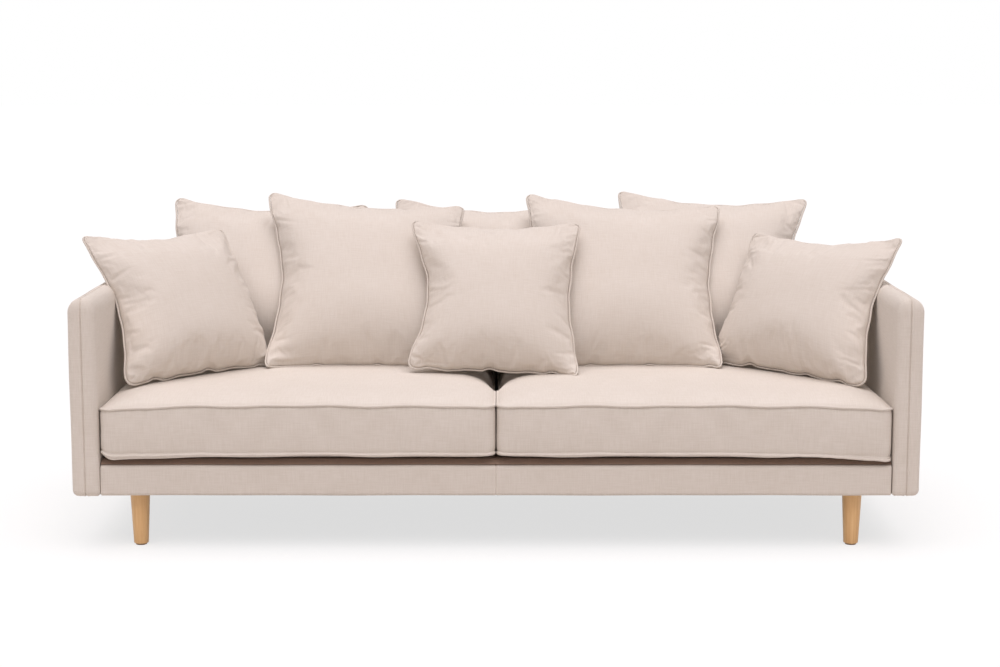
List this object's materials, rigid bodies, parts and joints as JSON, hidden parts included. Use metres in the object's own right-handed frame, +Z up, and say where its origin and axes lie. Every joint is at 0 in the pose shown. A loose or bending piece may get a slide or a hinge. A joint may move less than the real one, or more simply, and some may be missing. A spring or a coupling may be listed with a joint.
{
  "type": "sofa",
  "caption": "Low fabric sofa with slab arms, boxed seat cushions that pull out, loose leaning cushions that lift off, and turned wooden legs.",
  "frame": {"origin": "on the floor under the middle of the sofa", "axes": "+X to the right in the front view, +Y to the rear, +Z up"},
  "size_m": [2.3, 0.9419, 0.8981],
  "materials": {
    "linen_cover": "matte",
    "cushion_linen": "matte",
    "foam": "matte",
    "fibre_fill": "matte",
    "deck_fabric": "matte",
    "felt": "matte",
    "black_cambric": "matte",
    "webbing": "matte",
    "frame_timber": "matte",
    "leg_oak": "satin",
    "spring_steel": "satin",
    "zinc_steel": "satin",
    "glide_plastic": "matte",
    "zip_tape": "matte",
    "zip_metal": "satin"
  },
  "bodies": {
    "frame": {"front_rail": "frame_timber", "rear_rail": "frame_timber", "left_side_rail": "frame_timber", "right_side_rail": "frame_timber", "centre_stretcher": "frame_timber", "leg_blocks": "frame_timber", "seat_springs": "spring_steel", "spring_clips": "spring_steel", "deck_felt": "felt", "deck_cloth": "deck_fabric", "dust_cover": "black_cambric", "front_rail_padding": "foam", "front_rail_cover": "linen_cover", "left_arm_frame": "frame_timber", "left_arm_padding": "foam", "left_arm_cover": "linen_cover", "right_arm_frame": "frame_timber", "right_arm_padding": "foam", "right_arm_cover": "linen_cover", "back_bottom_rail": "frame_timber", "back_top_rail": "frame_timber", "back_posts": "frame_timber", "back_straps": "webbing", "back_padding": "foam", "back_cover": "linen_cover", "frame_bolts": "zinc_steel", "frame_washers": "zinc_steel", "frame_nuts": "zinc_steel", "front_left_leg": "leg_oak", "front_right_leg": "leg_oak", "rear_left_leg": "leg_oak", "rear_right_leg": "leg_oak", "leg_bolts": "zinc_steel", "leg_plates": "zinc_steel", "leg_glides": "glide_plastic"},
    "left_seat_cushion": {"left_seat_cover": "linen_cover", "left_seat_core": "foam", "left_seat_zip": "zip_tape"},
    "left_zip_slider": {"left_zip_slider": "zip_metal"},
    "right_seat_cushion": {"right_seat_cover": "linen_cover", "right_seat_core": "foam", "right_seat_zip": "zip_tape"},
    "right_zip_slider": {"right_zip_slider": "zip_metal"},
    "rear_left_cushion": {"rear_left_cushion_cover": "cushion_linen", "rear_left_cushion_fill": "fibre_fill"},
    "rear_centre_cushion": {"rear_centre_cushion_cover": "cushion_linen", "rear_centre_cushion_fill": "fibre_fill"},
    "rear_right_cushion": {"rear_right_cushion_cover": "cushion_linen", "rear_right_cushion_fill": "fibre_fill"},
    "front_left_cushion": {"front_left_cushion_cover": "cushion_linen", "front_left_cushion_fill": "fibre_fill"},
    "front_right_cushion": {"front_right_cushion_cover": "cushion_linen", "front_right_cushion_fill": "fibre_fill"},
    "small_centre_cushion": {"small_centre_cushion_cover": "cushion_linen", "small_centre_cushion_fill": "fibre_fill"},
    "small_left_cushion": {"small_left_cushion_cover": "cushion_linen", "small_left_cushion_fill": "fibre_fill"},
    "small_right_cushion": {"small_right_cushion_cover": "cushion_linen", "small_right_cushion_fill": "fibre_fill"}
  },
  "joints": [
    {"name": "left_seat_pull_out", "type": "slide", "parent": "frame", "child": "left_seat_cushion", "axis": [0, -1, 0], "range_m": [0, 0.85]},
    {"name": "left_zip_run", "type": "slide", "parent": "left_seat_cushion", "child": "left_zip_slider", "axis": [1, 0, 0], "range_m": [0, 0.88]},
    {"name": "right_seat_pull_out", "type": "slide", "parent": "frame", "child": "right_seat_cushion", "axis": [0, -1, 0], "range_m": [0, 0.85]},
    {"name": "right_zip_run", "type": "slide", "parent": "right_seat_cushion", "child": "right_zip_slider", "axis": [1, 0, 0], "range_m": [0, 0.88]},
    {"name": "rear_left_lift", "type": "slide", "parent": "frame", "child": "rear_left_cushion", "axis": [0, 0.5736, 0.8192], "range_m": [0, 0.62]},
    {"name": "rear_centre_lift", "type": "slide", "parent": "frame", "child": "rear_centre_cushion", "axis": [0, 0.5736, 0.8192], "range_m": [0, 0.62]},
    {"name": "rear_right_lift", "type": "slide", "parent": "frame", "child": "rear_right_cushion", "axis": [0, 0.5736, 0.8192], "range_m": [0, 0.62]},
    {"name": "front_left_lift", "type": "slide", "parent": "frame", "child": "front_left_cushion", "axis": [0, 0.5736, 0.8192], "range_m": [0, 0.62]},
    {"name": "front_right_lift", "type": "slide", "parent": "frame", "child": "front_right_cushion", "axis": [0, 0.5736, 0.8192], "range_m": [0, 0.62]},
    {"name": "small_centre_lift", "type": "slide", "parent": "frame", "child": "small_centre_cushion", "axis": [0, 0.515, 0.8572], "range_m": [0, 0.52]},
    {"name": "small_left_lift", "type": "slide", "parent": "frame", "child": "small_left_cushion", "axis": [0, 0, 1], "range_m": [0, 0.52]},
    {"name": "small_right_lift", "type": "slide", "parent": "frame", "child": "small_right_cushion", "axis": [0, 0, 1], "range_m": [0, 0.52]}
  ]
}
